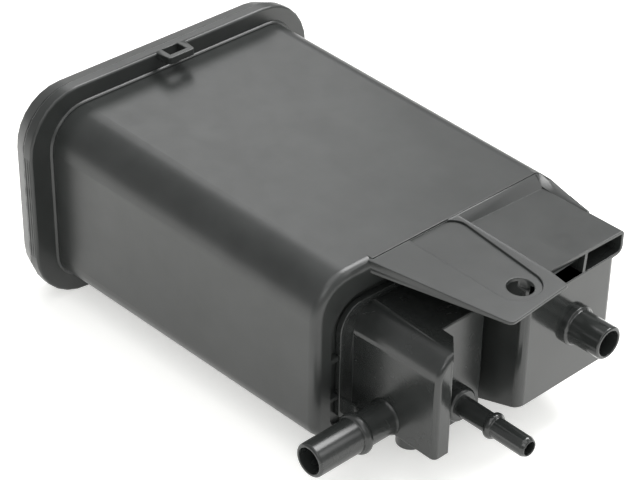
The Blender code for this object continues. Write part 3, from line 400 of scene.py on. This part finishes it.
def carbon_pellets():
    """Activated carbon, extruded into 2 mm pellets: dull black, with a faint graphite shine on the tops,
    and painted shade darkening the gaps between the pellets.
    """
    fillings = bpy.context.scene.canister_fillings
    made, tree, place = new_material("extruded_activated_carbon")
    pellets = add_node(
        tree, "ShaderNodeTexVoronoi", {"Vector": place, "Scale": 1 / (2.2 * MM)}
    ).outputs["Distance"]
    share = add_node(tree, "ShaderNodeMapRange", {"Value": pellets, "From Max": 0.7})
    # Painted shade: the gaps between the pellets, sunk by the bump below, take the near-black colour.
    colour = add_node(
        tree, "ShaderNodeMix",
        {
            FACTOR: share.outputs["Result"],
            FIRST: linear(fillings.carbon), SECOND: linear(fillings.carbon_painted_gap_shade),
        },
        data_type="RGBA",
    ).outputs[MIXED]
    dust = add_node(tree, "ShaderNodeTexNoise", {"Vector": place, "Scale": 1 / (0.5 * MM), "Detail": 3.0})
    rough = add_node(
        tree, "ShaderNodeMapRange", {"Value": dust.outputs["Fac"], "To Min": 0.6, "To Max": 0.9}
    )
    relief = add_node(tree, "ShaderNodeBump", {"Height": pellets, "Distance": 0.9 * MM}, invert=True)
    shader = add_node(tree, "ShaderNodeBsdfPrincipled", {
        "Base Color": colour, "Roughness": rough.outputs["Result"], "Normal": relief.outputs["Normal"],
    })
    add_node(tree, "ShaderNodeOutputMaterial", {"Surface": shader.outputs["BSDF"]})
    return made


def drawn_spring_steel():
    """Carbon spring steel, cold drawn and zinc plated: fine marks along the wire and dull patches."""
    fillings = bpy.context.scene.canister_fillings
    made, tree, place = new_material("drawn_zinc_plated_steel")
    patches = add_node(
        tree, "ShaderNodeTexNoise", {"Vector": place, "Scale": 1 / (1.5 * MM), "Detail": 3.0}
    ).outputs["Fac"]
    share = add_node(tree, "ShaderNodeMapRange", {"Value": patches, "From Min": 0.3, "From Max": 0.7})
    colour = add_node(
        tree, "ShaderNodeMix",
        {
            FACTOR: share.outputs["Result"],
            FIRST: linear(fillings.dull_steel), SECOND: linear(fillings.steel),
        },
        data_type="RGBA",
    ).outputs[MIXED]
    rough = add_node(tree, "ShaderNodeMapRange", {"Value": patches, "To Min": 0.42, "To Max": 0.28})
    marks = add_node(tree, "ShaderNodeTexNoise", {"Vector": place, "Scale": 1 / (0.3 * MM)})
    relief = add_node(tree, "ShaderNodeBump", {"Height": marks.outputs["Fac"], "Distance": 0.01 * MM})
    shader = add_node(tree, "ShaderNodeBsdfPrincipled", {
        "Base Color": colour, "Metallic": 1.0, "Roughness": rough.outputs["Result"],
        "Normal": relief.outputs["Normal"],
    })
    add_node(tree, "ShaderNodeOutputMaterial", {"Surface": shader.outputs["BSDF"]})
    return made


def seamless_paper():
    """Seamless studio paper on a light table: matt, very pale, with the faint shade of the paper's slow
    roll painted into its colour.
    """
    made, tree, place = new_material("seamless_paper")
    studio = bpy.context.scene.canister_studio
    # Painted shade: slow patches of the paper are darkened by 2 per cent, standing in for the shade of its
    # rolls.
    painted_roll_shade = add_node(
        tree, "ShaderNodeTexNoise", {"Vector": place, "Scale": 1 / (120 * MM)}
    ).outputs["Fac"]
    pale = linear(studio.floor)
    shaded = [0.98 * part for part in pale[:3]] + [1.0]
    colour = add_node(
        tree, "ShaderNodeMix", {FACTOR: painted_roll_shade, FIRST: pale, SECOND: shaded}, data_type="RGBA"
    ).outputs[MIXED]
    shader = add_node(tree, "ShaderNodeBsdfPrincipled", {
        "Base Color": colour, "Roughness": 0.8,
        "Emission Color": pale, "Emission Strength": studio.table_light,
    })
    add_node(tree, "ShaderNodeOutputMaterial", {"Surface": shader.outputs["BSDF"]})
    return made


def merged_copy(node):
    """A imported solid's surface with its loose triangles joined at their corners."""
    shape = bmesh.new()
    shape.from_mesh(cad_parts[node].data)
    bmesh.ops.remove_doubles(shape, verts=shape.verts, dist=MERGE_DISTANCE)
    return shape


def lower_wing(shape):
    """Brings the wing down, so that the channel's roof and ramp run on into it with a slight rise."""
    shape.normal_update()
    for vert in shape.verts:
        at = vert.co
        if WING_START < at.x < WING_END and at.y > WING_INNER:
            ramp = RAMP_SLOPE * max(RAMP_FOOT - at.x, 0.0)
            wall = WING_WALL if vert.normal.z < 0 else 0.0
            at.z = min(at.z, ROOF_EDGE + ramp + WING_RISE * (at.y - WING_FOOT) - wall)


def takes_rounding(edge, radius, sharp):
    """Whether an edge turns enough, and the faces beside it are wide enough, for a rounding."""
    if not edge.is_manifold or edge.calc_face_angle() < sharp:
        return False
    if not edge.is_convex and edge.calc_length() < SHORTEST_FILLET:
        return False
    least = LEAST_WIDTH * radius * edge.calc_length()
    return all(face.calc_area() > least for face in edge.link_faces)


def round_sharp_edges(shape, radius, steps, sharp):
    """Joins what lies flat into whole faces, then rounds the edges that can take it."""
    bmesh.ops.dissolve_limit(
        shape, angle_limit=FLAT_ANGLE, use_dissolve_boundaries=False,
        verts=shape.verts, edges=shape.edges,
    )
    edges = [edge for edge in shape.edges if takes_rounding(edge, radius, sharp)]
    bmesh.ops.bevel(
        shape, geom=edges, affect="EDGES", offset=radius, offset_type="OFFSET", segments=steps,
        profile=0.5, material=-1, clamp_overlap=False,
    )


def rim_path():
    """Points round the rim's outline at its welded joint."""
    corners = []
    for quarter in range(4):
        middle = pi / 2 * (quarter + 0.5)
        centre = RIM_MIDDLE + Vector((
            JOINT,
            copysign(RIM_HALF[0] - RIM_CORNER, cos(middle)),
            copysign(RIM_HALF[1] - RIM_CORNER, sin(middle)),
        ))
        for step in range(ARC_STEPS + 1):
            angle = pi / 2 * (quarter + step / ARC_STEPS)
            corners.append(centre + RIM_CORNER * Vector((0.0, cos(angle), sin(angle))))
    path = []
    for start, end in zip(corners, corners[1:] + corners[:1]):
        parts = max(1, round((end - start).length / FLASH_STEP))
        path += [start.lerp(end, part / parts) for part in range(parts)]
    return path


def ridge_path(behind):
    """Points up the flange's left side, at a distance behind the joint."""
    low = RIM_MIDDLE.z - RIM_HALF[1] + RIM_CORNER
    high = RIM_MIDDLE.z + RIM_HALF[1] - RIM_CORNER
    parts = round((high - low) / FLASH_STEP)
    heights = [low + (high - low) * part / parts for part in range(parts + 1)]
    return [Vector((JOINT + behind, FLANGE_SIDE, height)) for height in heights]


def add_piece(name, shape, material, slot, *nodes):
    """Turns a finished bmesh into a piece of the object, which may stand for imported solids."""
    mesh = bpy.data.meshes.new(name)
    shape.to_mesh(mesh)
    shape.free()
    mesh.shade_smooth()
    mesh.set_sharp_from_angle(angle=SMOOTH_ANGLE)
    piece = bpy.data.objects.new(name, mesh)
    bpy.context.scene.collection.objects.link(piece)
    mesh.materials.append(material)
    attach(piece, "root")
    if nodes:
        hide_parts(*nodes)
    return piece


def dress_moulding(node, shape, material):
    """Adds a moulding with its edges rounded and its flat walls shaded flat."""
    mouldings = bpy.context.scene.canister_mouldings
    round_sharp_edges(shape, mouldings.edge_radius, mouldings.edge_steps, mouldings.sharp_angle)
    piece = add_piece(f"{node}_moulding", shape, material, "black_nylon", node)
    even = piece.modifiers.new("even_normals", "WEIGHTED_NORMAL")
    even.weight = 100
    even.keep_sharp = True


def repaint(node, material):
    """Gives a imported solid, whose shape stays as it is, its material."""
    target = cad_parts[node]
    target.data.materials.clear()
    target.data.materials.append(material)


class CANISTER_OT_housing(bpy.types.Operator):
    """Dress the housing moulding."""

    bl_idname = "canister.housing"
    bl_label = "Housing"

    def execute(self, context):
        shape = merged_copy("canister_housing")
        lower_wing(shape)
        dress_moulding("canister_housing", shape, moulded_nylon())
        return {"FINISHED"}


class CANISTER_OT_port_cap(bpy.types.Operator):
    """Dress the port cap moulding."""

    bl_idname = "canister.port_cap"
    bl_label = "Port cap"

    def execute(self, context):
        polished = moulded_nylon("polished_glass_filled_nylon", polished=True)
        dress_moulding("port_cap", merged_copy("port_cap"), polished)
        return {"FINISHED"}


class CANISTER_OT_end_cover(bpy.types.Operator):
    """Dress the end cover moulding."""

    bl_idname = "canister.end_cover"
    bl_label = "End cover"

    def execute(self, context):
        dress_moulding("end_cover", merged_copy("end_cover"), moulded_nylon())
        return {"FINISHED"}


class CANISTER_OT_weld_flash(bpy.types.Operator):
    """Lay the uneven bead of plastic that the weld pressed out, and the fine ridges beside it."""

    bl_idname = "canister.weld_flash"
    bl_label = "Weld flash"

    def execute(self, context):
        line = bpy.data.curves.new("weld_flash_line", "CURVE")
        line.dimensions = "3D"
        line.bevel_depth = context.scene.canister_mouldings.flash
        line.bevel_resolution = 1
        line.use_fill_caps = True
        paths = [(rim_path(), True, 1.0)]
        paths += [(ridge_path(behind), False, RIDGE_SHARE) for behind in RIDGES]
        for path, closed, share in paths:
            spline = line.splines.new("POLY")
            spline.points.add(len(path) - 1)
            spline.use_cyclic_u = closed
            for point, at in zip(spline.points, path):
                point.co = (*at, 1.0)
                point.radius = share * (0.75 + 0.5 * noise.noise(at / FLASH_WAVE))
        guide = bpy.data.objects.new("weld_flash_line", line)
        shape = bmesh.new()
        shape.from_mesh(bpy.data.meshes.new_from_object(guide))
        bpy.data.objects.remove(guide)
        add_piece("weld_flash", shape, moulded_nylon(), "black_nylon")
        return {"FINISHED"}


class CANISTER_OT_plates(bpy.types.Operator):
    """Finish the grids and the retainer plates."""

    bl_idname = "canister.plates"
    bl_label = "Grids and retainer plates"

    def execute(self, context):
        for side in SIDES:
            repaint(f"{side}_port_grid", moulded_nylon())
            repaint(f"{side}_retainer_plate", moulded_nylon())
        return {"FINISHED"}


class CANISTER_OT_fillings(bpy.types.Operator):
    """Finish the carbon beds, the felts and the foam."""

    bl_idname = "canister.fillings"
    bl_label = "Carbon, felts and foam"

    def execute(self, context):
        felt, carbon = needled_felt(), carbon_pellets()
        for side in SIDES:
            repaint(f"{side}_port_felt", felt)
            repaint(f"{side}_cover_felt", felt)
            repaint(f"{side}_carbon_bed", carbon)
        repaint("vent_box_foam", open_cell_foam())
        return {"FINISHED"}


class CANISTER_OT_springs(bpy.types.Operator):
    """Finish the springs."""

    bl_idname = "canister.springs"
    bl_label = "Springs"

    def execute(self, context):
        steel = drawn_spring_steel()
        for side in SIDES:
            repaint(f"{side}_spring_upper", steel)
            repaint(f"{side}_spring_lower", steel)
        return {"FINISHED"}


def soft_light(name, way, away, aim, size, radiance):
    """Adds a soft panel at a distance from the aim along a direction, with the power for its radiance."""
    lamp = bpy.data.lights.new(name, "AREA")
    lamp.shape = "RECTANGLE"
    lamp.size, lamp.size_y = size
    lamp.energy = radiance * pi * size[0] * size[1]
    light = bpy.data.objects.new(name, lamp)
    bpy.context.scene.collection.objects.link(light)
    way = Vector(way).normalized()
    light.location = Vector(aim) + way * away
    light.rotation_euler = (-way).to_track_quat("-Z", "Y").to_euler()
    light.visible_camera = False


class CANISTER_OT_studio(bpy.types.Operator):
    """Set up the floor, the lights and the camera."""

    bl_idname = "canister.studio"
    bl_label = "Studio"

    def execute(self, context):
        studio = context.scene.canister_studio
        shape = bmesh.new()
        bmesh.ops.create_grid(shape, x_segments=1, y_segments=1, size=FLOOR_REACH)
        mesh = bpy.data.meshes.new("paper_floor")
        shape.to_mesh(mesh)
        shape.free()
        mesh.materials.append(seamless_paper())
        floor = bpy.data.objects.new("paper_floor", mesh)
        floor.location.z = CAD_BOX[0].z
        context.scene.collection.objects.link(floor)

        world = bpy.data.worlds.new("studio_air")
        world.use_nodes = True
        background = world.node_tree.nodes["Background"]
        background.inputs["Color"].default_value = (1.0, 1.0, 1.0, 1.0)
        background.inputs["Strength"].default_value = studio.air
        context.scene.world = world

        middle = Vector(studio.aim)
        for name, (way, away, size, setting) in SOFTBOXES.items():
            soft_light(name, way, away, middle, size, getattr(studio, setting))

        back = Vector((
            sin(studio.azimuth) * cos(studio.elevation),
            -cos(studio.azimuth) * cos(studio.elevation),
            sin(studio.elevation),
        ))
        lens = bpy.data.cameras.new("camera")
        lens.lens = studio.lens
        lens.sensor_width = SENSOR_WIDTH
        camera = bpy.data.objects.new("camera", lens)
        turn = (-back).to_track_quat("-Z", "Y").to_matrix().to_4x4()
        roll = Matrix.Rotation(studio.roll, 4, "Z")
        camera.matrix_world = Matrix.Translation(middle + back * studio.distance) @ turn @ roll
        context.scene.collection.objects.link(camera)
        context.scene.camera = camera
        context.scene.view_settings.view_transform = "Standard"
        return {"FINISHED"}


OPERATORS = (
    CANISTER_OT_housing, CANISTER_OT_port_cap, CANISTER_OT_end_cover, CANISTER_OT_weld_flash,
    CANISTER_OT_plates, CANISTER_OT_fillings, CANISTER_OT_springs, CANISTER_OT_studio,
)
GROUPS = {
    "canister_mouldings": MouldingSettings,
    "canister_fillings": FillingSettings,
    "canister_studio": StudioSettings,
}


class CANISTER_PT_panel(bpy.types.Panel):
    """The canister's settings and the steps that build it."""

    bl_idname = "CANISTER_PT_panel"
    bl_label = "Charcoal canister"
    bl_space_type = "VIEW_3D"
    bl_region_type = "UI"
    bl_category = "Canister"

    def draw(self, context):
        for group, kind in GROUPS.items():
            for name in kind.__annotations__:
                self.layout.prop(getattr(context.scene, group), name)
        for operator in OPERATORS:
            self.layout.operator(operator.bl_idname)


def register():
    for group in GROUPS.values():
        bpy.utils.register_class(group)
    for operator in OPERATORS:
        bpy.utils.register_class(operator)
    bpy.utils.register_class(CANISTER_PT_panel)
    for name, group in GROUPS.items():
        setattr(bpy.types.Scene, name, bpy.props.PointerProperty(type=group))


def unregister():
    for name in GROUPS:
        delattr(bpy.types.Scene, name)
    for made in (CANISTER_PT_panel, *OPERATORS, *GROUPS.values()):
        bpy.utils.unregister_class(made)


def main():
    register()
    for operator in OPERATORS:
        group, name = operator.bl_idname.split(".")
        getattr(getattr(bpy.ops, group), name)()


if __name__ == "__main__":
    main()
